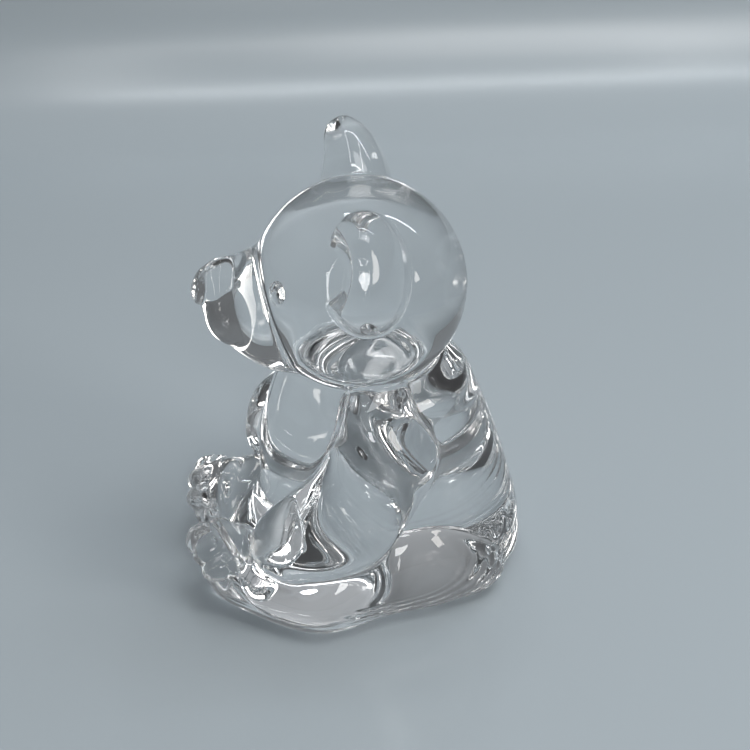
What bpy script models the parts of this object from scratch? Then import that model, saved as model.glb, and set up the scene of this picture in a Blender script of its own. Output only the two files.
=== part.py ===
"""Seated bear figurine in clear crystal, modelled as the gathers of glass that make it up.

The figurine faces -Y, its own left side is +X and it sits on the plane z = 0. Each gather (head, torso,
ears, arms, legs and so on) is one closed solid. Where two gathers meet, the smaller one is cut back by
its neighbour's shape with a hairline seam between them.
"""

import math

import bmesh
import bpy
from mathutils import Matrix, Vector

MM = 0.001
SEAM = 0.3 * MM  # hairline between two gathers that touch

# Driving dimensions
HEAD_RADIUS = 23.7 * MM
HEAD_HEIGHT = 77.2 * MM  # centre of the head above the base
BACK_REACH = 38.6 * MM  # furthest point of the back behind the head's axis
FEET_REACH = 41.2 * MM  # furthest point of the toes in front of it
EAR_REACH = 38.0 * MM  # tip of an ear from the centre of the head
EAR_RISE = math.radians(36.5)  # slope of an ear's axis above the horizontal
EYE_RADIUS = 2.2 * MM
SOLE_RADIUS = 9.4 * MM
SOLE_TURN = math.radians(20)  # how far a sole turns outwards
SOLE_LEAN = math.radians(18)  # how far the top of a sole leans forwards
TOE_COUNT = 4
TOE_SWELL = 0.9 * MM

BODY_SHIFT = (FEET_REACH - BACK_REACH) / 2  # puts the middle of the footprint on the origin

# Torso: height, front, back and half width of its rings. Its lowest rings run forwards as the lap.
TORSO_WAIST = 4.0 * MM  # where along Y every ring is widest
TORSO_RINGS = [
    (0.0, -29.0, 35.6, 20.0),
    (2.5, -31.5, 37.8, 23.0),
    (9.0, -31.5, 38.4, 24.6),
    (15.0, -28.5, 37.8, 25.0),
    (21.0, -25.0, 36.3, 25.0),
    (31.0, -23.8, 33.5, 24.4),
    (42.0, -22.8, 29.8, 23.0),
    (50.0, -20.4, 26.7, 21.2),
    (56.6, -17.0, 23.0, 18.4),
    (61.0, -12.0, 17.5, 13.6),
    (63.0, -6.5, 11.0, 7.0),
]

# Tapered gathers: centre of each station, then its radius across and its radius along the thickness
MUZZLE_STATIONS = [
    ((0, -11, 73.2), 15.2, 15.2),
    ((0, -20, 73.0), 13.9, 13.9),
    ((0, -26, 74.6), 10.4, 10.4),
    ((0, -31, 76.4), 6.9, 6.9),
]
ARM_STATIONS = [
    ((14.0, 8.5, 58.0), 11.0, 8.0),
    ((19.0, 7.8, 52.5), 14.0, 8.6),
    ((22.4, 3.2, 44.0), 12.4, 8.2),
    ((24.0, -1.8, 35.5), 12.6, 7.4),
    ((24.8, -9.2, 27.4), 14.2, 6.8),
    ((24.2, -15.8, 21.6), 12.2, 6.4),
    ((22.6, -19.6, 17.6), 9.0, 5.8),
]
LEG_STATIONS = [
    ((9.5, 27.0, 9.0), 8.8, 10.0),
    ((14.2, 16.0, 11.0), 11.2, 13.6),
    ((16.8, 3.0, 10.0), 12.2, 13.2),
    ((18.8, -11.5, 7.6), 14.2, 10.4),
    ((16.4, -21.0, 7.0), 13.0, 9.0),
    ((12.6, -31.0, 8.4), 10.4, 9.2),
]
ROUND_END = {"muzzle": 4.4, "arm": 5.0, "leg": 7.5}  # length of the rounded far end

# Ears: distance from the head's centre, half length round the head, reach forwards and backwards
EAR_RINGS = [
    (18.5, 12.6, 7.2, 11.6),
    (23.0, 12.9, 7.4, 10.0),
    (27.0, 12.6, 7.3, 8.2),
    (31.0, 11.4, 7.0, 6.3),
    (34.6, 8.9, 6.0, 4.5),
    (37.0, 5.2, 4.0, 2.3),
]
EAR_LEAN = 0.4 * MM  # the tip's place along Y
# The scoop in an ear's front: centre and radii, each along the ear, round the head and along Y
EAR_SCOOP = ((29.5, 0.0, -10.6), (9.4, 7.8, 6.4))

EYE_DIRECTION = Vector((13.8, -18.4, 6.6)).normalized()
EYE_SINK = 0.9 * MM  # depth of an eye's centre below the head's surface
NOSE_CENTRE = Vector((0, -32.6, 79.6)) * MM
NOSE_RADII = Vector((5.0, 2.6, 3.9)) * MM
NOSE_TIP_BACK = math.radians(28)
SOLE_CENTRE = Vector((12.2, -34.4, 9.3)) * MM
SOLE_RINGS = [(-3.2, 1.0), (0.6, 1.0), (2.6, 0.95), (3.9, 0.8), (4.4, 0.55)]  # offset, share of radius
TOE_ARC = (math.radians(25), math.radians(155))  # the stretch of a sole's rim that swells into toes

RING_POINTS = 28
STEPS_BETWEEN_STATIONS = 3
END_STEPS = 4
CREASE_ANGLE = math.radians(40)


def clear_scene():
    for obj in list(bpy.data.objects):
        bpy.data.objects.remove(obj, do_unlink=True)


def blended(stations, share):
    """A Catmull-Rom blend of the stations, flattened to numbers, at share 0..1 of the whole list."""
    place = share * (len(stations) - 1)
    first = min(int(place), len(stations) - 2)
    t = place - first
    before, start, end, after = (
        stations[min(max(first + k, 0), len(stations) - 1)] for k in (-1, 0, 1, 2)
    )
    return [
        0.5 * (2 * b + (c - a) * t + (2 * a - 5 * b + 4 * c - d) * t**2 + (3 * b - a - 3 * c + d) * t**3)
        for a, b, c, d in zip(before, start, end, after)
    ]


def ring(centre, across, ahead, behind, ripple=None):
    """Points of an oval ring: across is its half length, ahead and behind are its two half depths.

    A ripple gives the share by which the ring swells at each angle.
    """
    points = []
    for k in range(RING_POINTS):
        angle = 2 * math.pi * k / RING_POINTS
        depth = ahead if math.sin(angle) > 0 else behind
        swell = 1 + (ripple(angle) if ripple else 0)
        points.append(centre + (across * math.cos(angle) + depth * math.sin(angle)) * swell)
    return points


def skinned(rings, first_tip=None, last_tip=None):
    """A closed bmesh over the rings, which end in a tip or in a flat cap."""
    shell = bmesh.new()
    loops = [[shell.verts.new(point) for point in points] for points in rings]
    for lower, upper in zip(loops, loops[1:]):
        for k in range(RING_POINTS):
            after = (k + 1) % RING_POINTS
            shell.faces.new((lower[k], lower[after], upper[after], upper[k]))
    for loop, tip in ((loops[0], first_tip), (loops[-1], last_tip)):
        if tip is None:
            shell.faces.new(loop)
            continue
        apex = shell.verts.new(tip)
        for k in range(RING_POINTS):
            shell.faces.new((loop[k], loop[(k + 1) % RING_POINTS], apex))
    bmesh.ops.recalc_face_normals(shell, faces=shell.faces)
    return shell


def keep_side(shell, point, outward):
    """Grinds the shell flat: what lies past the plane on its outward side is removed and the cut closed."""
    geometry = shell.verts[:] + shell.edges[:] + shell.faces[:]
    cut = bmesh.ops.bisect_plane(
        shell, geom=geometry, plane_co=point, plane_no=outward, clear_outer=True
    )
    rim = [item for item in cut["geom_cut"] if isinstance(item, bmesh.types.BMEdge)]
    if rim:
        bmesh.ops.edgeloop_fill(shell, edges=rim)
        bmesh.ops.recalc_face_normals(shell, faces=shell.faces)


def tapered(stations, round_end, grow, reference):
    """A tapered gather along its stations, with two rounded ends."""
    flat = [[value * MM for value in (*centre, across, thick)] for centre, across, thick in stations]
    steps = STEPS_BETWEEN_STATIONS * (len(stations) - 1)
    samples = [blended(flat, k / steps) for k in range(steps + 1)]
    centres = [Vector(sample[:3]) for sample in samples]
    rings = []
    frames = []
    for k, sample in enumerate(samples):
        along = (centres[min(k + 1, steps)] - centres[max(k - 1, 0)]).normalized()
        across = along.cross(reference).normalized()
        thick = across.cross(along)
        frames.append((along, across * (sample[3] + grow), thick * (sample[4] + grow)))
        rings.append(ring(centres[k], frames[k][1], frames[k][2], frames[k][2]))
    tips = []
    for place, direction in ((0, -1), (steps, 1)):
        along, across, thick = frames[place]
        reach = along * direction * (round_end * MM + grow)
        cap = []
        for k in range(1, END_STEPS):
            turn = math.pi / 2 * k / END_STEPS
            share = math.cos(turn)
            middle = centres[place] + reach * math.sin(turn)
            cap.append(ring(middle, across * share, thick * share, thick * share))
        rings = rings + cap if direction > 0 else cap[::-1] + rings
        tips.append(centres[place] + reach)
    return skinned(rings, *tips)


def ball(centre, radii, turn=0.0, segments=RING_POINTS, rings=14):
    shell = bmesh.new()
    place = Matrix.Translation(centre) @ Matrix.Rotation(turn, 4, "X") @ Matrix.Diagonal((*radii, 1.0))
    bmesh.ops.create_uvsphere(shell, u_segments=segments, v_segments=rings, radius=1.0, matrix=place)
    return shell


def head_shape(grow=0.0):
    """The head. Like every shape with a grow, it can be made that much fatter all over, as a cutter."""
    radius = HEAD_RADIUS + grow
    return ball(Vector((0, 0, HEAD_HEIGHT)), (radius,) * 3, segments=36, rings=22)


def torso_shape(grow=0.0):
    flat = [[value * MM for value in row] for row in TORSO_RINGS]
    steps = 2 * (len(flat) - 1)
    rings = []
    for k in range(steps + 1):
        height, front, back, half_width = blended(flat, k / steps)
        if k in (0, steps):
            height += grow if k else -grow
        centre = Vector((0, TORSO_WAIST, height))
        rings.append(
            ring(
                centre,
                Vector((half_width + grow, 0, 0)),
                Vector((0, back + grow - TORSO_WAIST, 0)),
                Vector((0, TORSO_WAIST - front + grow, 0)),
            )
        )
    return skinned(rings, last_tip=Vector((0, 1.2 * MM, TORSO_RINGS[-1][0] * MM + 0.6 * MM + grow)))


def muzzle_shape(grow=0.0):
    return tapered(MUZZLE_STATIONS, ROUND_END["muzzle"], grow, Vector((0, 0, 1)))


def arm_shape(grow=0.0):
    return tapered(ARM_STATIONS, ROUND_END["arm"], grow, Vector((1, 0, 0)))


def sole_axis():
    """Outward direction of the left sole."""
    level = Vector((math.sin(SOLE_TURN), -math.cos(SOLE_TURN), 0))
    return (level * math.cos(SOLE_LEAN) - Vector((0, 0, math.sin(SOLE_LEAN)))).normalized()


def leg_shape(grow=0.0):
    shell = tapered(LEG_STATIONS, ROUND_END["leg"], grow, Vector((0, 0, 1)))
    if grow == 0:
        keep_side(shell, Vector((0, 0, 0)), Vector((0, 0, -1)))
        keep_side(shell, Vector((SEAM / 2, 0, 0)), Vector((-1, 0, 0)))
        keep_side(shell, SOLE_CENTRE + sole_axis() * SOLE_RINGS[0][0] * MM, sole_axis())
    return shell


def toes(angle):
    """The share by which a sole's rim swells at this angle."""
    start, end = TOE_ARC
    if not start < angle < end:
        return 0.0
    return TOE_SWELL / SOLE_RADIUS * abs(math.sin(math.pi * TOE_COUNT * (angle - start) / (end - start)))


def foot_shape():
    """A round sole whose upper rim swells into toes."""
    outward = sole_axis()
    across = Vector((0, 0, 1)).cross(outward).normalized()
    upward = outward.cross(across)
    rings = []
    for k, (offset, share) in enumerate(SOLE_RINGS):
        radius = SOLE_RADIUS * share
        centre = SOLE_CENTRE + outward * (offset * MM + (SEAM if k == 0 else 0))
        rings.append(ring(centre, across * radius, upward * radius, upward * radius, toes))
    shell = skinned(rings)
    keep_side(shell, Vector((0, 0, 0)), Vector((0, 0, -1)))
    return shell


def ear_shape():
    outward = Vector((math.cos(EAR_RISE), 0, math.sin(EAR_RISE)))
    around = Vector((-math.sin(EAR_RISE), 0, math.cos(EAR_RISE)))
    centre = Vector((0, EAR_LEAN, HEAD_HEIGHT))
    flat = [[value * MM for value in row] for row in EAR_RINGS]
    steps = 2 * (len(flat) - 1)
    rings = []
    for k in range(steps + 1):
        reach, half_length, ahead, behind = blended(flat, k / steps)
        middle = centre + outward * reach
        rings.append(ring(middle, around * half_length, Vector((0, behind, 0)), Vector((0, ahead, 0))))
    return skinned(rings, last_tip=centre + outward * EAR_REACH)


def ear_scoop_shape():
    """The hollow pressed into the front of an ear."""
    place, radii = (Vector(values) * MM for values in EAR_SCOOP)
    turn = Matrix.Rotation(-EAR_RISE, 4, "Y")
    shell = ball(Vector((place.x, place.z, place.y)), (radii.x, radii.z, radii.y))
    bmesh.ops.transform(shell, matrix=Matrix.Translation((0, 0, HEAD_HEIGHT)) @ turn, verts=shell.verts)
    return shell


def eye_shape():
    centre = Vector((0, 0, HEAD_HEIGHT)) + EYE_DIRECTION * (HEAD_RADIUS - EYE_SINK)
    return ball(centre, (EYE_RADIUS,) * 3, segments=16, rings=10)


def nose_shape():
    return ball(NOSE_CENTRE, NOSE_RADII, turn=-NOSE_TIP_BACK, segments=24, rings=12)


def as_object(name, shell, mirrored=False):
    """Makes the shell an object. A mirrored one stands on the figurine's right."""
    if mirrored:
        bmesh.ops.scale(shell, vec=(-1, 1, 1), verts=shell.verts)
        bmesh.ops.reverse_faces(shell, faces=shell.faces)
    mesh = bpy.data.meshes.new(name)
    shell.to_mesh(mesh)
    shell.free()
    mesh.shade_smooth()
    mesh.set_sharp_from_angle(angle=CREASE_ANGLE)
    obj = bpy.data.objects.new(name, mesh)
    bpy.context.scene.collection.objects.link(obj)
    obj.location.y = BODY_SHIFT
    return obj


def crystal(name):
    """Clear lead crystal, the same glass in every gather."""
    material = bpy.data.materials.new(name)
    material.use_nodes = True
    shader = material.node_tree.nodes["Principled BSDF"]
    shader.inputs["Base Color"].default_value = (0.97, 0.98, 0.98, 1.0)
    shader.inputs["Metallic"].default_value = 0.0
    shader.inputs["Roughness"].default_value = 0.02
    shader.inputs["IOR"].default_value = 1.54
    shader.inputs["Transmission Weight"].default_value = 1.0
    return material


def cutter(name, shell, mirrored=False):
    helper = as_object(name, shell, mirrored)
    helper.hide_render = True
    helper.display_type = "WIRE"
    return helper


def cut_back(piece, helper):
    modifier = piece.modifiers.new(helper.name, "BOOLEAN")
    modifier.operation = "DIFFERENCE"
    modifier.object = helper


def gather(name, shell, neighbours=(), mirrored=False):
    """One gather of glass, cut back by the neighbours it meets."""
    piece = as_object(name, shell, mirrored)
    piece.data.materials.append(crystal(name + "_crystal"))
    for helper in neighbours:
        cut_back(piece, helper)
    return piece


def build():
    clear_scene()
    head_room = cutter("head_room", head_shape(SEAM))
    torso_room = cutter("torso_room", torso_shape(SEAM))
    muzzle_room = cutter("muzzle_room", muzzle_shape(SEAM))

    gather("head", head_shape())
    gather("torso", torso_shape(), [head_room])
    gather("muzzle", muzzle_shape(), [head_room, torso_room])
    gather("nose", nose_shape(), [muzzle_room])

    for side, mirrored in (("left", False), ("right", True)):
        leg_room = cutter(side + "_leg_room", leg_shape(SEAM), mirrored)
        scoop = cutter(side + "_ear_scoop", ear_scoop_shape(), mirrored)
        gather(side + "_ear", ear_shape(), [head_room, scoop], mirrored)
        gather(side + "_eye", eye_shape(), [head_room, muzzle_room], mirrored)
        gather(side + "_leg", leg_shape(), [torso_room], mirrored)
        gather(side + "_foot", foot_shape(), mirrored=mirrored)
        gather(side + "_arm", arm_shape(), [torso_room, head_room, leg_room], mirrored)


build()
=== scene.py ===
"""Seated bear in clear crystal: its fourteen gathers are cast from one field and stand on a studio floor.

The figurine faces -Y, its own left side is +X and it sits on the plane z = 0. Every gather is one closed
mesh. Where two gathers have fused they share the same seam faces, which are left clear, so that light
crosses them as it does in one piece of glass.
"""

import functools
import math

import bmesh
import bpy
import numpy as np
from bpy.props import FloatProperty, FloatVectorProperty, IntProperty, PointerProperty
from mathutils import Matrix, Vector


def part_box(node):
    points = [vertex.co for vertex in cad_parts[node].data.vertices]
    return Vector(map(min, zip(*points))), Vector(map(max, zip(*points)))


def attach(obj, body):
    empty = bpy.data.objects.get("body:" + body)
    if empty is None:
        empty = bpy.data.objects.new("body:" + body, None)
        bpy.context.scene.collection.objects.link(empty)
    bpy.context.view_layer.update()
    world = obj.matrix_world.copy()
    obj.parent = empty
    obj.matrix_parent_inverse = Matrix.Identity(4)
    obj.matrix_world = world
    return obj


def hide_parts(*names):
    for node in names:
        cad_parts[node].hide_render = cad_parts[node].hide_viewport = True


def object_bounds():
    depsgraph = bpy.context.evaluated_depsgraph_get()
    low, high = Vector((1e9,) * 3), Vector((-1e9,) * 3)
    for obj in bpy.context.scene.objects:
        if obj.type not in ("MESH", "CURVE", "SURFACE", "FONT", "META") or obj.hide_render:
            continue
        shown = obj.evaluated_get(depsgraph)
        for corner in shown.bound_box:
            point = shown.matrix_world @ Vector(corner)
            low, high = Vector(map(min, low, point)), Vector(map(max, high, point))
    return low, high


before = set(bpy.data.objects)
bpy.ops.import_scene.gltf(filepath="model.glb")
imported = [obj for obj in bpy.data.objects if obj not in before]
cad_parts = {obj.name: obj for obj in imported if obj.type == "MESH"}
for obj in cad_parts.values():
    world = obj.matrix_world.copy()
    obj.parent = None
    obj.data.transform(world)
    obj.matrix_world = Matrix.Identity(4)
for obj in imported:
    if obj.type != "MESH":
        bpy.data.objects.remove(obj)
CAD_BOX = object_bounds()

bl_info = {
    "name": "Crystal bear figurine",
    "version": (1, 0, 0),
    "blender": (4, 5, 0),
    "location": "3D View > Sidebar > Figurine",
    "description": "Casts a seated bear in clear crystal and sets it on a soft studio floor",
    "category": "Add Mesh",
}

MM = 0.001

# The head gives the figurine's upright axis, from which every station below is measured in millimetres
HEAD_LOW, HEAD_HIGH = (Vector(corner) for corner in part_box("head"))
HEAD_CENTRE = (HEAD_LOW + HEAD_HIGH) / 2
HEAD_RADIUS = (HEAD_HIGH.z - HEAD_LOW.z) / 2
AXIS_Y = HEAD_CENTRE.y

HIDDEN_ROUND = 3.0  # rounding of an end that lies inside another gather

# Torso: height, then front, back and half width of its rings
TORSO_RINGS = [
    (0.0, -29.0, 35.6, 20.0),
    (2.5, -31.5, 37.8, 22.6),
    (9.0, -31.5, 38.4, 22.8),
    (15.0, -28.5, 37.8, 22.0),
    (21.0, -25.0, 36.3, 21.8),
    (31.0, -23.8, 33.5, 22.6),
    (42.0, -22.8, 29.8, 22.4),
    (50.0, -20.4, 26.7, 21.4),
    (56.6, -17.0, 23.0, 18.8),
    (61.0, -12.0, 17.5, 13.8),
]
TORSO_WAIST = 4.0  # Y at which the front half of a ring meets its back half
TORSO_TOP = 63.6

# Stations of the tapered gathers: middle x, y, z, then half breadth and half thickness
MUZZLE_STATIONS = [
    (0, -11, 72.6, 15.4, 15.4),
    (0, -20, 72.6, 14.3, 14.3),
    (0, -26, 73.2, 11.4, 11.4),
    (0, -31, 75.2, 8.6, 8.6),
]
ARM_STATIONS = [
    (13.6, 6.0, 58.0, 8.4, 8.0),
    (18.6, 5.6, 52.5, 11.8, 8.8),
    (22.4, 3.2, 44.0, 12.4, 8.2),
    (24.0, -1.8, 35.5, 12.6, 7.4),
    (24.8, -9.2, 27.4, 14.2, 6.8),
    (24.2, -15.8, 21.6, 12.2, 6.4),
    (22.6, -19.6, 17.6, 9.0, 5.8),
]
LEG_STATIONS = [
    (12.0, 26.0, 7.6, 10.4, 9.2),
    (15.0, 16.0, 10.8, 11.2, 13.4),
    (16.8, 3.0, 10.0, 12.2, 13.2),
    (18.8, -11.5, 7.6, 14.2, 10.4),
    (16.4, -21.0, 7.0, 13.0, 9.0),
    (12.6, -31.0, 8.4, 10.4, 9.2),
]
ARM_LEAN = math.radians(35)  # slope of an arm's axis from the upright
MUZZLE_END, ARM_END, LEG_END = 4.4, 5.0, 7.5  # how far each runs on past its end stations
RUN_SHOULDER = 6.0  # how far down its side such an end starts to round over

# Ears: distance from the head's centre, reach ahead and behind, half length round the head
EAR_RISE = math.radians(36.5)
EAR_RINGS = [
    (18.5, -8.8, 9.8, 12.6),
    (23.0, -9.0, 9.2, 12.8),
    (27.0, -8.8, 8.4, 12.6),
    (31.0, -8.6, 7.0, 12.0),
    (35.0, -8.2, 5.8, 11.0),
]
EAR_ROOT, EAR_REACH = 12.0, 38.4
EAR_RUN_ON = 3.0  # how far the sides run straight on past the last ring
EAR_TIP_ROUND = (6.0, 8.0)  # depths of the tip's shoulder down the side and in from the end
# The scoop in an ear's front, given outwards from the head, round the head and in Y
EAR_SCOOP_PLACE = (30.5, 0.0, -12.0)
EAR_SCOOP_RADII = (13.5, 10.0, 9.4)
EAR_SCOOP_RIM = 1.6

EYE_DIRECTION = Vector((13.8, -18.4, 6.6)).normalized()
EYE_RADIUS = 2.7
EYE_SINK = 1.3  # how far a bead's middle lies below the head's skin
NOSE_PLACE = (0.0, -33.7, 78.6)
NOSE_RADII = (5.2, 2.7, 4.4)
NOSE_TIP_BACK = math.radians(28)
PAD_PLACE = (5.2, -26.0, 74.0)  # the cheek pads either side of the mouth
PAD_RADII = (7.2, 8.0, 7.4)
PAD_FILLET = 0.9

SOLE_PLACE = (12.2, -34.4, 9.3)
SOLE_RADIUS = 9.4
SOLE_TURN = math.radians(20)
SOLE_LEAN = math.radians(18)
SOLE_DEPTH = (-3.2, 4.4)  # where a sole begins and ends along its axis
SOLE_ROOT = 4.0  # how far a foot runs on into its leg
SOLE_RIM_ROUND = (5.0, 3.6)  # depths of the rim's shoulder down the side and in from the sole
TOE_ARC = (math.radians(18), math.radians(162))  # the stretch of a sole's rim that swells into toes
TOE_RIM = (0.45, 0.8)  # a toe grows to its full height between these shares of the sole's radius
TOE_FRONT = (0.6 * MM, 2.6 * MM)  # and between these distances from the sole's beginning
TOE_FULLNESS = 0.8  # below one makes a toe fuller than a plain wave

# Fold lines at the hips lie on ovals round a middle given in Y and Z
FOLD_CENTRE = (6.0, 15.0)
FOLD_RADII = (27.0, 13.0)
FOLD_COUNT = 7.0  # lines across a radius
FOLD_HEIGHT = 0.11
FOLD_TOP = 20.0  # none lies above this height
# The folds grow to their full height between these shares of a radius, Y values, depths below their top
# and distances from the middle plane
FOLD_RING = (0.45, 0.75)
FOLD_FRONT = (-12.0, 6.0)
FOLD_FALL = (0.0, 5.0)
FOLD_ASIDE = (2.0, 6.0)
FOLD_DRIFT, FOLD_DRIFT_RATE = 0.9, 11.0  # how much and how often their spacing changes

# Fillets that are narrower or wider than the one in the settings, as shares of it
FILLET_SHARES = {"nose": 0.35, "foot": 0.8, "ear": 0.6, "eye": 0.5, "arm": 1.3}

SIDES = (("left", 1), ("right", -1))


# ---------------------------------------------------------------- distances


class Spline:
    """A natural cubic spline through rows of values, which runs straight on for a while past its ends."""

    def __init__(self, knots, rows, reach_on=0.0):
        self.knots = np.array(knots, float)
        self.rows = np.array(rows, float)
        self.reach_on = reach_on
        gaps = np.diff(self.knots)
        count = len(self.knots)
        system = np.eye(count)
        pull = np.zeros_like(self.rows)
        slopes = np.diff(self.rows, axis=0) / gaps[:, None]
        for k in range(1, count - 1):
            system[k, k - 1 : k + 2] = gaps[k - 1], 2 * (gaps[k - 1] + gaps[k]), gaps[k]
            pull[k] = 6 * (slopes[k] - slopes[k - 1])
        bends = np.linalg.solve(system, pull)
        gaps = gaps[:, None]
        slopes = slopes - gaps * (2 * bends[:-1] + bends[1:]) / 6
        self.terms = (self.rows[:-1], slopes, bends[:-1] / 2, np.diff(bends, axis=0) / gaps / 6)
        self.end_slope = slopes[-1] + gaps[-1] * (bends[-2] + bends[-1]) / 2

    def __call__(self, place):
        """The columns of values at every place, as one array each."""
        first, last = self.knots[0], self.knots[-1]
        inside = np.clip(place, first, last)
        before = np.clip(place - first, -self.reach_on, 0)
        beyond = np.clip(place - last, 0, self.reach_on)
        k = np.clip(np.searchsorted(self.knots, inside) - 1, 0, len(self.knots) - 2)
        t = inside - self.knots[k]
        start, slope, bend, twist = self.terms
        return [
            start[k, c]
            + t * (slope[k, c] + t * (bend[k, c] + t * twist[k, c]))
            + before * slope[0, c]
            + beyond * self.end_slope[c]
            for c in range(self.rows.shape[1])
        ]


def soft_min(a, b, width):
    """The lesser of two distances, with a fillet where they are nearly equal."""
    near = np.maximum(width - np.abs(a - b), 0) / width
    return np.minimum(a, b) - near**3 * (width / 6)


def soft_max(a, b, width):
    return -soft_min(-a, -b, width)


def rounded(side, end, side_depth, end_depth):
    """Where a side meets an end, with an elliptical shoulder of these two depths."""
    u = np.maximum(side / side_depth + 1, 0)
    v = np.maximum(end / end_depth + 1, 0)
    deepest = np.minimum(np.maximum(side / side_depth, end / end_depth), -1)
    return (np.sqrt(u * u + v * v) + deepest) * min(side_depth, end_depth)


def oval(p, q, half_p, half_q):
    """Near enough the distance to an oval's rim, exact on the rim."""
    share = np.sqrt((p / half_p) ** 2 + (q / half_q) ** 2)
    steep = np.sqrt((p / half_p**2) ** 2 + (q / half_q**2) ** 2)
    return share * (share - 1) / (steep + 1e-9)


def ellipsoid(p, q, r, radii):
    share = np.sqrt((p / radii[0]) ** 2 + (q / radii[1]) ** 2 + (r / radii[2]) ** 2)
    steep = np.sqrt(
        (p / radii[0] ** 2) ** 2 + (q / radii[1] ** 2) ** 2 + (r / radii[2] ** 2) ** 2
    )
    return share * (share - 1) / (steep + 1e-9)


class Run:
    """Rings threaded on a straight axis, each with its own middle, half breadth and half thickness."""

    def __init__(self, stations, along, breadth, end_round):
        self.along = Vector(along).normalized()
        self.breadth = Vector(breadth).normalized()
        self.thick = self.along.cross(self.breadth)
        places = [Vector(row[:3]) for row in stations]
        knots = [place.dot(self.along) for place in places]
        rows = [
            (place.dot(self.breadth), place.dot(self.thick), row[3], row[4])
            for place, row in zip(places, stations)
        ]
        self.spline = Spline(knots, rows, reach_on=end_round)
        self.start, self.end = knots[0] - end_round, knots[-1] + end_round
        self.end_round = end_round

    def __call__(self, x, y, z):
        t, p, q = (v.x * x + v.y * y + v.z * z for v in (self.along, self.breadth, self.thick))
        mid_p, mid_q, half_p, half_q = self.spline(t)
        side = oval(p - mid_p, q - mid_q, half_p, half_q)
        side = rounded(side, t - self.end, RUN_SHOULDER, self.end_round)
        return rounded(side, self.start - t, RUN_SHOULDER, self.end_round)


def ring_spline(rings, reach_on=0.0):
    return Spline([row[0] for row in rings], [row[1:] for row in rings], reach_on)


TORSO = ring_spline(TORSO_RINGS)
EAR = ring_spline(EAR_RINGS, EAR_RUN_ON)
ARM_DOWN = (0, -math.sin(ARM_LEAN), -math.cos(ARM_LEAN))
ARM_BACK = (0, math.cos(ARM_LEAN), -math.sin(ARM_LEAN))
ARM = Run(ARM_STATIONS, ARM_DOWN, ARM_BACK, ARM_END)
LEG = Run(LEG_STATIONS, (0, -1, 0), (1, 0, 0), LEG_END)
MUZZLE = Run(MUZZLE_STATIONS, (0, -1, 0), (1, 0, 0), MUZZLE_END)


def head_form(x, y, z):
    rise = z - HEAD_CENTRE.z / MM
    return np.sqrt(x * x + y * y + rise * rise) - HEAD_RADIUS / MM


def torso_form(x, y, z):
    front, back, half = TORSO(z)
    depth = np.where(y > TORSO_WAIST, back - TORSO_WAIST, TORSO_WAIST - front)
    side = oval(x, y - TORSO_WAIST, half, depth)
    return rounded(side, z - TORSO_TOP, HIDDEN_ROUND, HIDDEN_ROUND)


def muzzle_form(x, y, z):
    """The tapered muzzle with a cheek pad swelling out of each side."""
    pad = ellipsoid(np.abs(x) - PAD_PLACE[0], y - PAD_PLACE[1], z - PAD_PLACE[2], PAD_RADII)
    return soft_min(MUZZLE(x, y, z), pad, PAD_FILLET)


def nose_form(x, y, z):
    turn, lift = math.cos(NOSE_TIP_BACK), math.sin(NOSE_TIP_BACK)
    back, up = y - NOSE_PLACE[1], z - NOSE_PLACE[2]
    return ellipsoid(x, turn * back - lift * up, lift * back + turn * up, NOSE_RADII)


def ear_form(x, y, z):
    rise = z - HEAD_CENTRE.z / MM
    along = math.cos(EAR_RISE) * x + math.sin(EAR_RISE) * rise
    around = -math.sin(EAR_RISE) * x + math.cos(EAR_RISE) * rise
    ahead, behind, half = EAR(along)
    middle = (ahead + behind) / 2
    side = oval(around, y - middle, half, (behind - ahead) / 2)
    shape = rounded(side, along - EAR_REACH, *EAR_TIP_ROUND)
    shape = rounded(shape, EAR_ROOT - along, HIDDEN_ROUND, HIDDEN_ROUND)
    place = EAR_SCOOP_PLACE
    scoop = ellipsoid(along - place[0], around - place[1], y - place[2], EAR_SCOOP_RADII)
    return soft_max(shape, -scoop, EAR_SCOOP_RIM)


def eye_form(x, y, z):
    place = EYE_DIRECTION * (HEAD_RADIUS / MM - EYE_SINK)
    rise = z - HEAD_CENTRE.z / MM - place.z
    return np.sqrt((x - place.x) ** 2 + (y - place.y) ** 2 + rise * rise) - EYE_RADIUS


def sole_axis():
    """The way a left sole faces: forwards, turned outwards and leaning down."""
    level = Vector((math.sin(SOLE_TURN), -math.cos(SOLE_TURN), 0))
    return (level * math.cos(SOLE_LEAN) - Vector((0, 0, math.sin(SOLE_LEAN)))).normalized()


def sole_depth(x, y, z):
    """How far a point lies in front of the sole's place, along the sole's axis."""
    outward, place = sole_axis(), Vector(SOLE_PLACE)
    return outward.x * (x - place.x) + outward.y * (y - place.y) + outward.z * (z - place.z)


def foot_form(x, y, z):
    depth = sole_depth(x, y, z)
    place = Vector(SOLE_PLACE)
    reach = (x - place.x) ** 2 + (y - place.y) ** 2 + (z - place.z) ** 2
    side = np.sqrt(np.maximum(reach - depth**2, 0)) - SOLE_RADIUS
    cap = rounded(side, depth - SOLE_DEPTH[1], *SOLE_RIM_ROUND)
    return rounded(cap, SOLE_DEPTH[0] - SOLE_ROOT - depth, HIDDEN_ROUND, HIDDEN_ROUND)


def eased(value, low, high):
    """Nought below low, one above high and smooth in between."""
    share = np.clip((value - low) / (high - low), 0, 1)
    return share * share * (3 - 2 * share)


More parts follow.
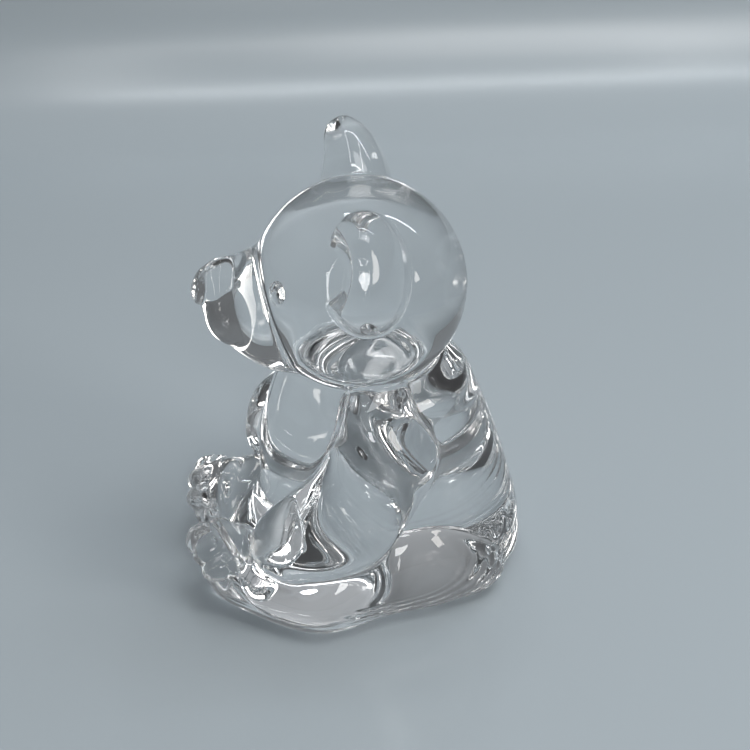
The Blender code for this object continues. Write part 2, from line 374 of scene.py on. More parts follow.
def folds(x, y, z):
    """Fold lines in the skin where a thigh's tail is drawn round and down to the base."""
    back, rise = (y - FOLD_CENTRE[0]) / FOLD_RADII[0], (z - FOLD_CENTRE[1]) / FOLD_RADII[1]
    ring = np.sqrt(back**2 + rise**2)
    fade = eased(ring, *FOLD_RING) * eased(y, *FOLD_FRONT)
    fade = fade * eased(FOLD_TOP - z, *FOLD_FALL) * eased(np.abs(x), *FOLD_ASIDE)
    drift = FOLD_DRIFT * np.sin(FOLD_DRIFT_RATE * ring)
    return FOLD_HEIGHT * fade * np.sin(2 * math.pi * FOLD_COUNT * ring + drift)


def leg_claim(x, y, z):
    return np.maximum(np.maximum(LEG(x, y, z), -x), sole_depth(x, y, z) - SOLE_DEPTH[0])


def foot_claim(x, y, z):
    return np.maximum(np.maximum(foot_form(x, y, z), SOLE_DEPTH[0] - sole_depth(x, y, z)), -x)


def mirrored(form, side):
    return form if side > 0 else lambda x, y, z: form(-x, y, z)


def gathers(fillet):
    """Every gather as name: (form, claim, fillet width). The first one to claim a point keeps it."""
    single = {
        "head": (head_form, head_form),
        "torso": (torso_form, torso_form),
        "muzzle": (muzzle_form, muzzle_form),
        "nose": (nose_form, nose_form),
    }
    paired = {
        "leg": (LEG, leg_claim),
        "foot": (foot_form, foot_claim),
        "ear": (ear_form, ear_form),
        "eye": (eye_form, eye_form),
        "arm": (ARM, ARM),
    }
    widths = {piece: fillet * FILLET_SHARES.get(piece, 1.0) for piece in (*single, *paired)}
    found = {piece: (form, claim, widths[piece]) for piece, (form, claim) in single.items()}
    for name, side in SIDES:
        for piece, (form, claim) in paired.items():
            found[f"{name}_{piece}"] = (mirrored(form, side), mirrored(claim, side), widths[piece])
    return found


# ---------------------------------------------------------------- casting


FAR = 8.0  # the distance given to places that no form is worked out for
MARGIN = 5.0  # a form is worked out this far past its CAD node's box
GRID_SPARE = 1.5  # room between the figurine's CAD box and the grid's edge
NEAREST_CROSSING = 0.02  # share of a grid edge kept clear of the skin at both of its ends
LABEL_BITS = 16  # more than the gathers and the air together
RELAX_PULL = 0.6  # share of the way that a point slides in one round
LEAST_SLOPE = 0.05  # keeps a point from being thrown far where the distance hardly changes


def node_box(name):
    """The box of a gather's CAD node in millimetres, measured from the figurine's upright axis."""
    return [np.array(corner) / MM - (0, AXIS_Y / MM, 0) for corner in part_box(name)]


def grid_distance(forms, x, y, z, blocks, base_round):
    """The whole figurine's distance over a grid: every form fused, and the base ground flat."""
    total = np.full((x.size, y.size, z.size), FAR)
    for name, (form, _, width) in forms.items():
        i, j, k = blocks[name]
        part = form(x[i], y[:, j], z[:, :, k])
        total[i, j, k] = soft_min(total[i, j, k], part, width)
    low = slice(0, int(np.searchsorted(z.ravel(), FOLD_TOP)))
    total[:, :, low] += folds(x, y, z[:, :, low])
    return rounded(total, np.broadcast_to(-z, total.shape), base_round, base_round)


def point_distance(forms, boxes, points, base_round):
    """The same distance at loose points."""
    total = np.full(len(points), FAR)
    for name, (form, _, width) in forms.items():
        low, high = boxes[name]
        near = ((points > low - MARGIN) & (points < high + MARGIN)).all(axis=1)
        total[near] = soft_min(total[near], form(*points[near].T), width)
    total += folds(*points.T)
    return rounded(total, -points[:, 2], base_round, base_round)


def grid_axes(step):
    """Grid places along X, Y and Z, half a step off the base and the middle plane."""
    axes = []
    for low, high, middle in zip(*CAD_BOX, (0, AXIS_Y, 0)):
        low, high = (low - middle) / MM - GRID_SPARE, (high - middle) / MM + GRID_SPARE
        first = math.floor(low / step) - 0.5
        count = int(math.ceil(high / step - first)) + 1
        axes.append((first + np.arange(count)) * step)
    return axes


def block_of(name, axes):
    """The stretch of each grid axis near the box of a gather's CAD node."""
    low, high = node_box(name)
    ends = zip(axes, low - MARGIN, high + MARGIN)
    return tuple(slice(*map(int, np.searchsorted(axis, (first, last)))) for axis, first, last in ends)


def cast(step, fillet, base_round):
    """The forms of all gathers, and the net of quads that wraps them and parts them at the seams."""
    forms = gathers(fillet)
    axes = grid_axes(step)
    x, y, z = axes[0][:, None, None], axes[1][None, :, None], axes[2][None, None, :]
    blocks = {name: block_of(name, axes) for name in forms}
    field = grid_distance(forms, x, y, z, blocks, base_round)
    inside = field < 0

    labels = np.zeros(field.shape, np.uint8)
    nearest = np.full(field.shape, np.inf)
    fallback = np.zeros(field.shape, np.uint8)
    for rank, (name, (_, claim, _)) in enumerate(forms.items(), start=1):
        i, j, k = blocks[name]
        held = claim(x[i], y[:, j], z[:, :, k])
        part = labels[i, j, k]
        part[(part == 0) & (held < 0)] = rank
        closer = held < nearest[i, j, k]
        fallback[i, j, k][closer] = rank
        nearest[i, j, k][closer] = held[closer]
    labels = np.where(labels == 0, fallback, labels)
    labels[~inside] = 0
    return forms, net(labels, field, axes, step)


def net(labels, field, axes, step):
    """A surface net round every label: one point in each mixed cell, one quad across each mixed edge.

    With the points and quads it gives the labels below and above each quad, and what meets at each point.
    """
    cells = np.array(labels.shape) - 1
    crossings = []
    for a in range(3):
        low = [slice(None)] * 3
        high = [slice(None)] * 3
        low[a], high[a] = slice(0, -1), slice(1, None)
        for b in range(3):
            if b != a:
                low[b] = high[b] = slice(1, -1)
        first, second = labels[tuple(low)], labels[tuple(high)]
        where = np.nonzero(first != second)
        one, two = first[where], second[where]
        start, stop = field[tuple(low)][where], field[tuple(high)][where]
        skin = (one == 0) | (two == 0)
        share = start / np.where(skin, start - stop, 1)
        share = np.where(skin, np.clip(share, NEAREST_CROSSING, 1 - NEAREST_CROSSING), 0.5)
        index = np.stack(where, axis=1)
        for b in range(3):
            if b != a:
                index[:, b] += 1
        point = np.stack([axes[b][index[:, b]] for b in range(3)], axis=1)
        point[:, a] += share * step
        b, c = (a + 1) % 3, (a + 2) % 3
        corners = []
        for back_b, back_c in ((1, 1), (0, 1), (0, 0), (1, 0)):
            cell = index.copy()
            cell[:, b] -= back_b
            cell[:, c] -= back_c
            corners.append(np.ravel_multi_index(cell.T, cells))
        crossings.append((np.stack(corners, axis=1), point, one, two))

    quads = np.concatenate([row[0] for row in crossings])
    points = np.concatenate([row[1] for row in crossings])
    lower = np.concatenate([row[2] for row in crossings])
    upper = np.concatenate([row[3] for row in crossings])
    used, quads = np.unique(quads, return_inverse=True)
    quads = quads.reshape(-1, 4)
    weight = np.bincount(quads.ravel(), minlength=len(used))
    places = np.stack(
        [
            np.bincount(quads.ravel(), np.repeat(points[:, a], 4), minlength=len(used)) / weight
            for a in range(3)
        ],
        axis=1,
    )
    # What meets at each point, one bit for every label
    meets = np.zeros(len(used), np.int64)
    both = (1 << lower.astype(np.int64)) | (1 << upper.astype(np.int64))
    for column in range(4):
        np.bitwise_or.at(meets, quads[:, column], both)
    return places, quads, lower, upper, meets


def slope(distance, places, reach=0.01):
    """The distance at each place and its gradient there."""
    found = []
    for a in range(3):
        ahead, behind = places.copy(), places.copy()
        ahead[:, a] += reach
        behind[:, a] -= reach
        found.append((distance(ahead) - distance(behind)) / (2 * reach))
    return distance(places), np.stack(found, axis=1)


def relaxed(places, quads, meets, distance, rounds=4):
    """Evens out the net: points slide towards their neighbours' middle, those on the skin along it."""
    skin = (meets & 1) == 1
    order = np.zeros(len(meets), int)
    for bit in range(LABEL_BITS):
        order += (meets >> bit) & 1
    edges = np.concatenate([quads[:, [k, (k + 1) % 4]] for k in range(4)])
    edges = np.unique(np.sort(edges, axis=1), axis=0)
    ends = np.concatenate([edges, edges[:, ::-1]])
    ends = ends[order[ends[:, 1]] >= order[ends[:, 0]]]
    ends = ends[~skin[ends[:, 0]] | skin[ends[:, 1]]]
    count = np.maximum(np.bincount(ends[:, 0], minlength=len(places)), 1)
    alone = np.bincount(ends[:, 0], minlength=len(places)) == 0
    for turn in range(rounds + 1):
        if turn:
            middle = np.stack(
                [
                    np.bincount(ends[:, 0], places[ends[:, 1], a], minlength=len(places)) / count
                    for a in range(3)
                ],
                axis=1,
            )
            middle[alone] = places[alone]
            places = places * (1 - RELAX_PULL) + middle * RELAX_PULL
        for _ in range(2 if turn in (0, rounds) else 1):
            value, direction = slope(distance, places[skin])
            size = np.maximum((direction**2).sum(axis=1), LEAST_SLOPE)
            places[skin] -= direction * (value / size)[:, None]
    _, direction = slope(distance, places[skin])
    normals = np.zeros_like(places)
    normals[skin] = direction / np.maximum(np.linalg.norm(direction, axis=1), 1e-9)[:, None]
    return places, normals


@functools.lru_cache(maxsize=1)
def blank(step, fillet, base_round):
    """The cast net of all gathers, kept for as long as the sizes stay the same."""
    forms, (places, quads, lower, upper, meets) = cast(step, fillet, base_round)
    boxes = {name: node_box(name) for name in forms}

    def distance(points):
        return point_distance(forms, boxes, points, base_round)

    places, normals = relaxed(places, quads, meets, distance)
    places = places * MM
    places[:, 1] += AXIS_Y
    return list(forms), places, normals, quads, lower, upper


def coordinates(mesh):
    """Every point's place, one row each."""
    found = np.empty(len(mesh.vertices) * 3, np.float32)
    mesh.vertices.foreach_get("co", found)
    return found.reshape(-1, 3)


def gather_mesh(name):
    """One gather's closed mesh, skin in the first material and seams in the second, and its normals."""
    settings = bpy.context.scene.bear_cast
    sizes = (settings.mesh_step / MM, settings.fillet / MM, settings.base_round / MM)
    names, places, normals, quads, lower, upper = blank(*sizes)
    rank = names.index(name) + 1
    own, other = lower == rank, upper == rank
    quads = np.concatenate([quads[own], quads[other][:, ::-1]])
    beyond = np.concatenate([upper[own], lower[other]])
    used, quads = np.unique(quads, return_inverse=True)
    quads = quads.reshape(-1, 4)
    mesh = bpy.data.meshes.new(name + "_glass")
    mesh.from_pydata(places[used].tolist(), [], quads.tolist())
    mesh.polygons.foreach_set("material_index", (beyond > 0).astype(np.int32))
    mesh.polygons.foreach_set("use_smooth", np.ones(len(quads), bool))
    mesh.update()
    normals = normals[used]
    mesh.normals_split_custom_set_from_vertices(normals.tolist())
    return mesh, normals


# ---------------------------------------------------------------- finishes


POLISH_PATCH = 1 / 60  # metres across a patch of even polish


def hand_finish_group():
    """Shader group: the faint waves and the slight change of polish that a hand-worked skin has."""
    name = "hand_finished_skin"
    if name in bpy.data.node_groups:
        return bpy.data.node_groups[name]
    tree = bpy.data.node_groups.new(name, "ShaderNodeTree")
    for socket in ("Wave Scale", "Wave Height", "Most Roughness"):
        tree.interface.new_socket(socket, in_out="INPUT", socket_type="NodeSocketFloat")
    tree.interface.new_socket("Roughness", in_out="OUTPUT", socket_type="NodeSocketFloat")
    tree.interface.new_socket("Normal", in_out="OUTPUT", socket_type="NodeSocketVector")
    nodes, links = tree.nodes, tree.links
    inlet, outlet = nodes.new("NodeGroupInput"), nodes.new("NodeGroupOutput")
    place = nodes.new("ShaderNodeTexCoord")
    waves = nodes.new("ShaderNodeTexNoise")
    waves.inputs["Detail"].default_value = 1.0
    cloud = nodes.new("ShaderNodeTexNoise")
    cloud.inputs["Scale"].default_value = 1 / POLISH_PATCH
    bump = nodes.new("ShaderNodeBump")
    bump.inputs["Strength"].default_value = 1.0
    rough = nodes.new("ShaderNodeMath")
    rough.operation = "MULTIPLY"
    links.new(place.outputs["Object"], waves.inputs["Vector"])
    links.new(place.outputs["Object"], cloud.inputs["Vector"])
    links.new(inlet.outputs["Wave Scale"], waves.inputs["Scale"])
    links.new(inlet.outputs["Wave Height"], bump.inputs["Distance"])
    links.new(waves.outputs["Fac"], bump.inputs["Height"])
    links.new(cloud.outputs["Fac"], rough.inputs[0])
    links.new(inlet.outputs["Most Roughness"], rough.inputs[1])
    links.new(rough.outputs["Value"], outlet.inputs["Roughness"])
    links.new(bump.outputs["Normal"], outlet.inputs["Normal"])
    return tree


def crystal_finish(name, pressed=False):
    """Clear crystal. A pressed skin has smaller and steeper waves than a fire-polished one."""
    settings = bpy.context.scene.bear_glass
    wave_size = settings.press_size if pressed else settings.wave_size
    wave_height = settings.press_height if pressed else settings.wave_height
    material = bpy.data.materials.new(name)
    material.use_nodes = True
    nodes, links = material.node_tree.nodes, material.node_tree.links
    shader = nodes["Principled BSDF"]
    shader.inputs["Base Color"].default_value = (*settings.tint, 1.0)
    shader.inputs["Metallic"].default_value = 0.0
    shader.inputs["IOR"].default_value = settings.ior
    shader.inputs["Transmission Weight"].default_value = 1.0
    skin = nodes.new("ShaderNodeGroup")
    skin.node_tree = hand_finish_group()
    skin.inputs["Wave Scale"].default_value = 1 / wave_size
    skin.inputs["Wave Height"].default_value = wave_height
    skin.inputs["Most Roughness"].default_value = settings.roughness
    links.new(skin.outputs["Roughness"], shader.inputs["Roughness"])
    links.new(skin.outputs["Normal"], shader.inputs["Normal"])
    return material


def seam_finish():
    """Where two gathers have fused there is nothing to see, so light goes straight through."""
    name = "fused_seam"
    if name in bpy.data.materials:
        return bpy.data.materials[name]
    material = bpy.data.materials.new(name)
    material.use_nodes = True
    shader = material.node_tree.nodes["Principled BSDF"]
    shader.inputs["Alpha"].default_value = 0.0
    return material


def place_piece(node, mesh):
    """Shows a finished mesh in place of its CAD node."""
    piece = bpy.data.objects.new(node + "_glass", mesh)
    bpy.context.scene.collection.objects.link(piece)
    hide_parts(node)
    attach(piece, "root")


# ---------------------------------------------------------------- toes


def set_inputs(modifier, values):
    """Sets a tree's inputs, given by name, through their sockets' identifiers."""
    for item in modifier.node_group.interface.items_tree:
        if item.item_type == "SOCKET" and item.in_out == "INPUT" and item.name in values:
            value = values[item.name]
            modifier[item.identifier] = list(value) if isinstance(value, Vector) else value


def toe_tree():
    """Geometry nodes that swell a sole's rim outwards in a row of rounded toes."""
    tree = bpy.data.node_groups.new("toe_row", "GeometryNodeTree")
    socket = tree.interface.new_socket
    socket("Geometry", in_out="INPUT", socket_type="NodeSocketGeometry")
    for name in ("Sole Centre", "Sole Axis"):
        socket(name, in_out="INPUT", socket_type="NodeSocketVector")
    socket("Toe Count", in_out="INPUT", socket_type="NodeSocketInt")
    for name in ("Sole Radius", "Swell", "Arc Start", "Arc End", "Back"):
        socket(name, in_out="INPUT", socket_type="NodeSocketFloat")
    socket("Finish", in_out="INPUT", socket_type="NodeSocketMaterial")
    socket("Geometry", in_out="OUTPUT", socket_type="NodeSocketGeometry")
    nodes, links = tree.nodes, tree.links
    inlet, outlet = nodes.new("NodeGroupInput").outputs, nodes.new("NodeGroupOutput").inputs

    def feed(sockets, values):
        for target, value in zip(sockets, values):
            if isinstance(value, bpy.types.NodeSocket):
                links.new(value, target)
            else:
                target.default_value = value

    def maths(operation, *values):
        node = nodes.new("ShaderNodeMath")
        node.operation = operation
        feed(node.inputs, values)
        return node.outputs["Value"]

    def vectors(operation, *values):
        node = nodes.new("ShaderNodeVectorMath")
        node.operation = operation
        feed(node.inputs, values)
        return node.outputs["Value" if operation == "DOT_PRODUCT" else "Vector"]

    def ramp(value, low, high):
        node = nodes.new("ShaderNodeMapRange")
        node.interpolation_type = "SMOOTHSTEP"
        feed([node.inputs[name] for name in ("Value", "From Min", "From Max")], (value, low, high))
        return node.outputs["Result"]

    place = nodes.new("GeometryNodeInputPosition").outputs["Position"]
    normal = nodes.new("GeometryNodeInputNormal").outputs["Normal"]
    axis = vectors("NORMALIZE", inlet["Sole Axis"])
    across = vectors("NORMALIZE", vectors("CROSS_PRODUCT", (0, 0, 1), axis))
    upward = vectors("CROSS_PRODUCT", axis, across)
    offset = vectors("SUBTRACT", place, inlet["Sole Centre"])
    side = vectors("DOT_PRODUCT", offset, across)
    rise = vectors("DOT_PRODUCT", offset, upward)
    depth = vectors("DOT_PRODUCT", offset, axis)
    angle = maths("ARCTAN2", rise, side)
    stretch = maths("SUBTRACT", inlet["Arc End"], inlet["Arc Start"])
    share = maths("DIVIDE", maths("SUBTRACT", angle, inlet["Arc Start"]), stretch)
    share = maths("MINIMUM", maths("MAXIMUM", share, 0.0), 1.0)
    lobes = maths("MULTIPLY", maths("MULTIPLY", share, math.pi), inlet["Toe Count"])
    lobes = maths("POWER", maths("ABSOLUTE", maths("SINE", lobes)), TOE_FULLNESS)
    reach = maths("ADD", maths("MULTIPLY", side, side), maths("MULTIPLY", rise, rise))
    rim = ramp(maths("DIVIDE", maths("SQRT", reach), inlet["Sole Radius"]), *TOE_RIM)
    front = ramp(maths("SUBTRACT", depth, inlet["Back"]), *TOE_FRONT)
    shape = maths("MULTIPLY", lobes, rim)
    height = maths("MULTIPLY", shape, maths("MULTIPLY", front, inlet["Swell"]))
    scale = nodes.new("ShaderNodeVectorMath")
    scale.operation = "SCALE"
    links.new(normal, scale.inputs[0])
    links.new(height, scale.inputs["Scale"])

    swell = nodes.new("GeometryNodeSetPosition")
    links.new(inlet["Geometry"], swell.inputs["Geometry"])
    links.new(scale.outputs["Vector"], swell.inputs["Offset"])
    realize = nodes.new("GeometryNodeRealizeInstances")
    links.new(swell.outputs["Geometry"], realize.inputs["Geometry"])
    skin = nodes.new("FunctionNodeCompare")
    skin.data_type, skin.operation = "INT", "EQUAL"
    whole = [item for item in skin.inputs if item.type == "INT"]
    links.new(nodes.new("GeometryNodeInputMaterialIndex").outputs[0], whole[0])
    whole[1].default_value = 0
    finish = nodes.new("GeometryNodeSetMaterial")
    links.new(realize.outputs["Geometry"], finish.inputs["Geometry"])
    links.new(skin.outputs["Result"], finish.inputs["Selection"])
    links.new(inlet["Finish"], finish.inputs["Material"])
    links.new(finish.outputs["Geometry"], outlet["Geometry"])
    return tree


STILL = 1e-8  # metres: a shorter move than this is only rounding


def toed_foot(context, node, side, tree):
    """A foot's mesh with the toes swollen out of its rim."""
    settings = context.scene.bear_toes
    mirror = Vector((side, 1, 1))
    mesh, normals = gather_mesh(node)
    finish = crystal_finish(node + "_crystal")
    mesh.materials.append(finish)
    mesh.materials.append(seam_finish())
    plain = bpy.data.objects.new(node + "_plain", mesh)
    context.scene.collection.objects.link(plain)
    modifier = plain.modifiers.new("toes", "NODES")
    modifier.node_group = tree
    values = {
        "Sole Centre": (Vector(SOLE_PLACE) * MM + Vector((0, AXIS_Y, 0))) * mirror,
        "Sole Axis": sole_axis() * mirror,
        "Sole Radius": SOLE_RADIUS * MM,
        "Toe Count": settings.count,
        "Swell": settings.swell,
        "Arc Start": TOE_ARC[0],
        "Arc End": TOE_ARC[1],
        "Back": SOLE_DEPTH[0] * MM,
        "Finish": finish,
    }
    set_inputs(modifier, values)
    context.view_layer.update()
    graph = context.evaluated_depsgraph_get()
    toed = bpy.data.meshes.new_from_object(plain.evaluated_get(graph), depsgraph=graph)
    # A point that the toes have moved takes its normal from the new shape, which a null vector asks for
    moved = np.linalg.norm(coordinates(toed) - coordinates(mesh), axis=1)
    normals[moved > STILL] = 0
    toed.normals_split_custom_set_from_vertices(normals.tolist())
    bpy.data.objects.remove(plain)
    bpy.data.meshes.remove(mesh)
    toed.name = node + "_glass"
    return toed


# ---------------------------------------------------------------- settings


class BearCastSettings(bpy.types.PropertyGroup):
    """Sizes of the casting itself"""

    mesh_step: FloatProperty(
        name="Mesh step",
        description="Width of one face of the skin",
        default=0.5 * MM,
        unit="LENGTH",
        precision=5,
    )
    fillet: FloatProperty(
        name="Fillet",
        description="Width over which two gathers run together",
        default=1.6 * MM,
        unit="LENGTH",
        precision=5,
    )
    base_round: FloatProperty(
        name="Base rounding",
        description="Rounding of the ground base's rim",
        default=1.6 * MM,
        unit="LENGTH",
        precision=5,
    )


class BearGlassSettings(bpy.types.PropertyGroup):
    """The crystal and its polish"""

    tint: FloatVectorProperty(
        name="Tint",
        description="Colour of the crystal",
        default=(0.985, 0.99, 0.99),
        subtype="COLOR",
        min=0,
        max=1,
    )
    ior: FloatProperty(name="Refraction", description="Index of refraction", default=1.54)
    roughness: FloatProperty(
        name="Roughness",
        description="Most roughness left by the polish",
        default=0.01,
        subtype="FACTOR",
    )
    wave_size: FloatProperty(
        name="Wave size",
        description="Size of the skin's waves",
        default=12 * MM,
        unit="LENGTH",
        precision=5,
    )
    wave_height: FloatProperty(
        name="Wave height",
        description="Height of the skin's waves",
        default=0.02 * MM,
        unit="LENGTH",
        precision=6,
    )
    press_size: FloatProperty(
        name="Press mark size",
        description="Size of the marks left on pressed skin",
        default=1.1 * MM,
        unit="LENGTH",
        precision=5,
    )
    press_height: FloatProperty(
        name="Press mark height",
        description="Height of the marks left on pressed skin",
        default=0.12 * MM,
        unit="LENGTH",
        precision=6,
    )


class BearToeSettings(bpy.types.PropertyGroup):
    """Toes along the upper rim of each sole"""

    count: IntProperty(name="Toes", description="Number of toes on a foot", default=4, min=1)
    swell: FloatProperty(
        name="Swell",
        description="Height of a toe over the rim",
        default=1.3 * MM,
        unit="LENGTH",
        precision=5,
    )


class BearStageSettings(bpy.types.PropertyGroup):
    """The floor and the camera"""

    floor_colour: FloatVectorProperty(
        name="Floor",
        description="Colour of the floor",
        default=(0.385, 0.435, 0.466),
        subtype="COLOR",
        min=0,
        max=1,
    )
    floor_roughness: FloatProperty(
        name="Floor roughness",
        description="How dull the floor is",
        default=0.24,
        subtype="FACTOR",
    )
    azimuth: FloatProperty(
        name="Camera azimuth",
        description="Direction of the camera from the front",
        default=math.radians(85),
        subtype="ANGLE",
    )
    elevation: FloatProperty(
        name="Camera elevation",
        description="Height of the camera as an angle",
        default=math.radians(35),
        subtype="ANGLE",
    )
    distance: FloatProperty(
        name="Camera distance",
        description="From the camera to the figurine",
        default=0.366,
        unit="LENGTH",
    )
    lens: FloatProperty(
        name="Lens",
        description="Focal length in millimetres on a film 36 mm wide",
        default=76.8,
    )


# ---------------------------------------------------------------- operators


class Piece:
    """What the operators that cast a gather or a pair of them share"""

    nodes = ()
    pressed = False  # whether its skin keeps the fine unevenness of the tool that pressed it

    def execute(self, context):
        for node in self.nodes:
            mesh, _ = gather_mesh(node)
            mesh.materials.append(crystal_finish(node + "_crystal", self.pressed))
            mesh.materials.append(seam_finish())
            place_piece(node, mesh)
        return {"FINISHED"}


class BEAR_OT_torso(Piece, bpy.types.Operator):
    """Cast the torso, with the lap and the ground base"""

    bl_idname = "bear.torso"
    bl_label = "Torso"
    nodes = ("torso",)


class BEAR_OT_head(Piece, bpy.types.Operator):
    """Cast the round head"""

    bl_idname = "bear.head"
    bl_label = "Head"
    nodes = ("head",)


class BEAR_OT_muzzle(Piece, bpy.types.Operator):
    """Cast the muzzle"""

    bl_idname = "bear.muzzle"
    bl_label = "Muzzle"
    nodes = ("muzzle",)


class BEAR_OT_nose(Piece, bpy.types.Operator):
    """Press the nose onto the tip of the muzzle"""

    bl_idname = "bear.nose"
    bl_label = "Nose"
    nodes = ("nose",)
    pressed = True


class BEAR_OT_ears(Piece, bpy.types.Operator):
    """Cast both ears with their scooped fronts"""

    bl_idname = "bear.ears"
    bl_label = "Ears"
    nodes = ("left_ear", "right_ear")


class BEAR_OT_eyes(Piece, bpy.types.Operator):
    """Set both eye beads into the head"""

    bl_idname = "bear.eyes"
    bl_label = "Eyes"
    nodes = ("left_eye", "right_eye")
    pressed = True


class BEAR_OT_arms(Piece, bpy.types.Operator):
    """Cast both arms, resting on the thighs"""

    bl_idname = "bear.arms"
    bl_label = "Arms"
    nodes = ("left_arm", "right_arm")


class BEAR_OT_legs(Piece, bpy.types.Operator):
    """Cast both legs"""

    bl_idname = "bear.legs"
    bl_label = "Legs"
    nodes = ("left_leg", "right_leg")


class BEAR_OT_feet(bpy.types.Operator):
    """Cast both soles and swell their rims into toes"""

    bl_idname = "bear.feet"
    bl_label = "Feet"

    def execute(self, context):
        tree = toe_tree()
        for name, side in SIDES:
            node = name + "_foot"
            place_piece(node, toed_foot(context, node, side, tree))
        return {"FINISHED"}


FLOOR_GAP = 0.15 * MM  # air left under the ground base, so that the floor is seen through it
FLOOR_REACH = 6.0  # how far the floor runs towards the camera and to both sides
FLOOR_BEND = -0.21  # X at which it starts to bend up
FLOOR_BEND_RADIUS = 0.07
FLOOR_BEND_TURN = math.radians(80)
FLOOR_FLAT_STEPS, FLOOR_BEND_STEPS = 12, 32

MIDDLE = Vector((0, AXIS_Y, 0.05))  # of the figurine
# Soft lamps: name, place, what they point at, width and length, watts, colour
LAMPS = (
    ("front_softbox", (0.74, 0.04, 0.58), MIDDLE, (0.17, 0.22), 1.2, (1, 1, 1)),
    ("ceiling", (0.22, 0.5, 1.1), (0.22, 0.5, 0.0), (0.4, 0.9), 4.5, (1, 1, 1)),
    ("back_tube", (-0.3, 0.45, 0.9), (-0.3, 0.45, 0.0), (0.02, 1.2), 2.0, (0.88, 0.94, 1.0)),
    ("side_window", (0.5, 0.8, 0.5), MIDDLE, (0.27, 0.33), 2.1, (1.0, 0.96, 0.91)),
)
# The frame lamp hangs level: its middle, its size, the width of its bars and the watts of all four
FRAME_PLACE = (-0.05, 0.12, 0.9)
FRAME_SIZE = (0.46, 0.56)
FRAME_BAR = 0.02
FRAME_WATTS = 2.2

ROOM_OVERHEAD = (0.42, 0.44, 0.46)
ROOM_LEVEL = (0.15, 0.158, 0.165)
ROOM_DARK = (0.035, 0.035, 0.036)
ROOM_DARK_SIDE = (0.87, -0.1, 0.35)
ROOM_RISE = (0.35, 0.95)  # the room turns pale between these heights, level being 0 and overhead 1
ROOM_TURN = (0.1, 0.8)  # and dark between these cosines of the angle to its dark side

CAMERA_AIM = Vector((0, AXIS_Y + 3.44 * MM, 52.3 * MM))
FILM_WIDTH = 36.0


def point_at(obj, place, target):
    obj.location = place
    obj.rotation_euler = (Vector(target) - Vector(place)).to_track_quat("-Z", "Y").to_euler()


def soft_lamp(name, size, watts, colour=(1, 1, 1)):
    """A rectangular area lamp, still to be placed, that shines straight down."""
    data = bpy.data.lights.new(name, "AREA")
    data.shape = "RECTANGLE"
    data.size, data.size_y = size
    data.energy = watts
    data.color = colour
    lamp = bpy.data.objects.new(name, data)
    bpy.context.scene.collection.objects.link(lamp)
    return lamp


def lamp_frame():
    """Four bar lamps that hang level as the outline of a rectangle."""
    width, length = FRAME_SIZE
    bars = (
        (width / 2, 0, FRAME_BAR, length + FRAME_BAR),
        (-width / 2, 0, FRAME_BAR, length + FRAME_BAR),
        (0, length / 2, width - FRAME_BAR, FRAME_BAR),
        (0, -length / 2, width - FRAME_BAR, FRAME_BAR),
    )
    whole = FRAME_BAR * 2 * (width + length)
    for number, (x, y, *size) in enumerate(bars, start=1):
        watts = FRAME_WATTS * size[0] * size[1] / whole
        lamp = soft_lamp(f"frame_bar_{number}", size, watts)
        lamp.location = Vector(FRAME_PLACE) + Vector((x, y, 0))


def sweep_mesh():
    """A wide floor that bends up behind the figurine, as the camera on its left sees it."""
    run = FLOOR_REACH - FLOOR_BEND
    profile = [(FLOOR_REACH - run * k / FLOOR_FLAT_STEPS, 0.0) for k in range(FLOOR_FLAT_STEPS)]
    for k in range(FLOOR_BEND_STEPS + 1):
        turn = FLOOR_BEND_TURN * k / FLOOR_BEND_STEPS
        back = FLOOR_BEND - FLOOR_BEND_RADIUS * math.sin(turn)
        profile.append((back, FLOOR_BEND_RADIUS * (1 - math.cos(turn))))
    shell = bmesh.new()
    front, rear = (
        [shell.verts.new((x, y, z - FLOOR_GAP)) for x, z in profile]
        for y in (-FLOOR_REACH, FLOOR_REACH)
    )
    for k in range(len(profile) - 1):
        shell.faces.new((rear[k], rear[k + 1], front[k + 1], front[k]))
    mesh = bpy.data.meshes.new("studio_sweep")
    shell.to_mesh(mesh)
    shell.free()
    mesh.shade_smooth()
    return mesh


def studio_world():
    """A room that is pale overhead, mid grey at the figurine's level and dark round the camera."""
    world = bpy.data.worlds.new("studio_room")
    world.use_nodes = True
    nodes, links = world.node_tree.nodes, world.node_tree.links
    place = nodes.new("ShaderNodeTexCoord")

    def blend(direction, low, high, below, above):
        facing = nodes.new("ShaderNodeVectorMath")
        facing.operation = "DOT_PRODUCT"
        facing.inputs[1].default_value = direction
        ramp = nodes.new("ShaderNodeMapRange")
        ramp.interpolation_type = "SMOOTHSTEP"
        ramp.inputs["From Min"].default_value = low
        ramp.inputs["From Max"].default_value = high
        mix = nodes.new("ShaderNodeMix")
        mix.data_type = "RGBA"
        links.new(place.outputs["Generated"], facing.inputs[0])
        links.new(facing.outputs["Value"], ramp.inputs["Value"])
        links.new(ramp.outputs["Result"], mix.inputs["Factor"])
        for slot, colour in zip([item for item in mix.inputs if item.type == "RGBA"], (below, above)):
            if isinstance(colour, bpy.types.NodeSocket):
                links.new(colour, slot)
            else:
                slot.default_value = (*colour, 1.0)
        return next(item for item in mix.outputs if item.type == "RGBA")

    room = blend((0, 0, 1), *ROOM_RISE, ROOM_LEVEL, ROOM_OVERHEAD)
    room = blend(ROOM_DARK_SIDE, *ROOM_TURN, room, ROOM_DARK)
    links.new(room, nodes["Background"].inputs["Color"])
    return world


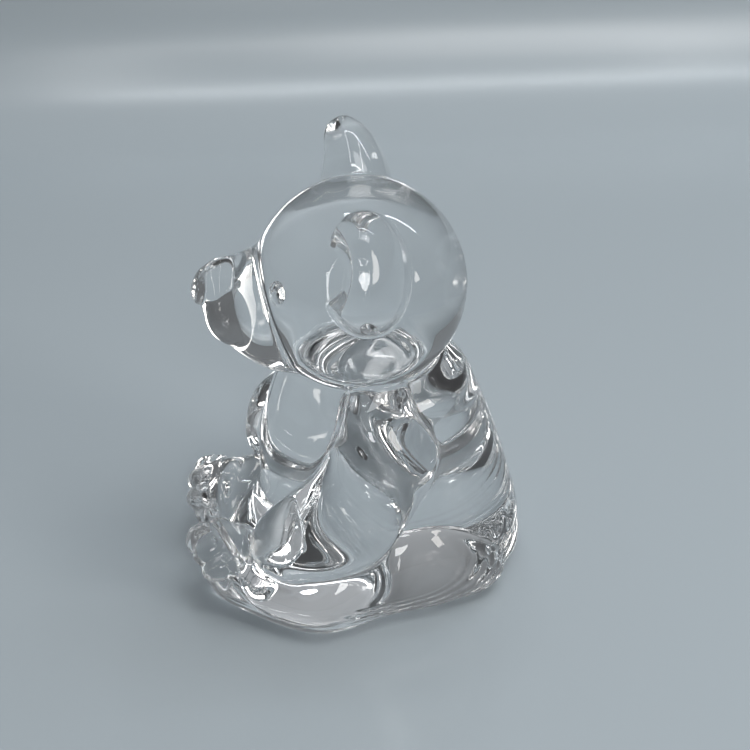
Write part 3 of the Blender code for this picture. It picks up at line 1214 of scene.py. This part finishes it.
def floor_piece(settings):
    """The floor in its plain pale finish."""
    sweep = bpy.data.objects.new("studio_sweep", sweep_mesh())
    bpy.context.scene.collection.objects.link(sweep)
    finish = bpy.data.materials.new("studio_floor")
    finish.use_nodes = True
    shader = finish.node_tree.nodes["Principled BSDF"]
    shader.inputs["Base Color"].default_value = (*settings.floor_colour, 1.0)
    shader.inputs["Roughness"].default_value = settings.floor_roughness
    sweep.data.materials.append(finish)
    return sweep


def studio_camera(settings):
    """A camera set round the figurine by its angles and distance."""
    camera = bpy.data.objects.new("camera", bpy.data.cameras.new("camera"))
    bpy.context.scene.collection.objects.link(camera)
    camera.data.lens = settings.lens
    camera.data.sensor_width = FILM_WIDTH
    camera.data.clip_start = 0.01
    level = math.cos(settings.elevation)
    direction = Vector(
        (
            level * math.sin(settings.azimuth),
            -level * math.cos(settings.azimuth),
            math.sin(settings.elevation),
        )
    )
    point_at(camera, CAMERA_AIM + direction * settings.distance, CAMERA_AIM)
    return camera


class BEAR_OT_stage(bpy.types.Operator):
    """Lay the floor, hang the lights and set up the camera"""

    bl_idname = "bear.stage"
    bl_label = "Stage"

    def execute(self, context):
        scene = context.scene
        floor_piece(scene.bear_stage)
        lamp_frame()
        for name, place, target, size, watts, colour in LAMPS:
            point_at(soft_lamp(name, size, watts, colour), place, target)
        scene.world = studio_world()
        scene.view_settings.view_transform = "Standard"
        scene.camera = studio_camera(scene.bear_stage)
        # Light crosses the crystal's skin many times before it gets out again
        scene.cycles.max_bounces = 32
        scene.cycles.transmission_bounces = 32
        scene.cycles.glossy_bounces = 12
        scene.cycles.transparent_max_bounces = 64
        return {"FINISHED"}


OPERATORS = (
    BEAR_OT_torso,
    BEAR_OT_head,
    BEAR_OT_muzzle,
    BEAR_OT_nose,
    BEAR_OT_ears,
    BEAR_OT_eyes,
    BEAR_OT_arms,
    BEAR_OT_legs,
    BEAR_OT_feet,
    BEAR_OT_stage,
)
SETTINGS = {
    "bear_cast": BearCastSettings,
    "bear_glass": BearGlassSettings,
    "bear_toes": BearToeSettings,
    "bear_stage": BearStageSettings,
}


class BEAR_PT_panel(bpy.types.Panel):
    """Steps and sizes of the crystal bear"""

    bl_idname = "BEAR_PT_panel"
    bl_label = "Crystal bear"
    bl_space_type = "VIEW_3D"
    bl_region_type = "UI"
    bl_category = "Figurine"

    def draw(self, context):
        for group, kind in SETTINGS.items():
            box = self.layout.box()
            box.label(text=kind.__doc__)
            for name in kind.__annotations__:
                box.prop(getattr(context.scene, group), name)
        for operator in OPERATORS:
            self.layout.operator(operator.bl_idname)


def register():
    for kind in (*SETTINGS.values(), *OPERATORS, BEAR_PT_panel):
        bpy.utils.register_class(kind)
    for group, kind in SETTINGS.items():
        setattr(bpy.types.Scene, group, PointerProperty(type=kind))


def unregister():
    for group in SETTINGS:
        delattr(bpy.types.Scene, group)
    for kind in reversed((*SETTINGS.values(), *OPERATORS, BEAR_PT_panel)):
        bpy.utils.unregister_class(kind)


def main():
    register()
    for operator in OPERATORS:
        group, name = operator.bl_idname.split(".")
        getattr(getattr(bpy.ops, group), name)()
    bpy.context.view_layer.update()


if __name__ == "__main__":
    main()
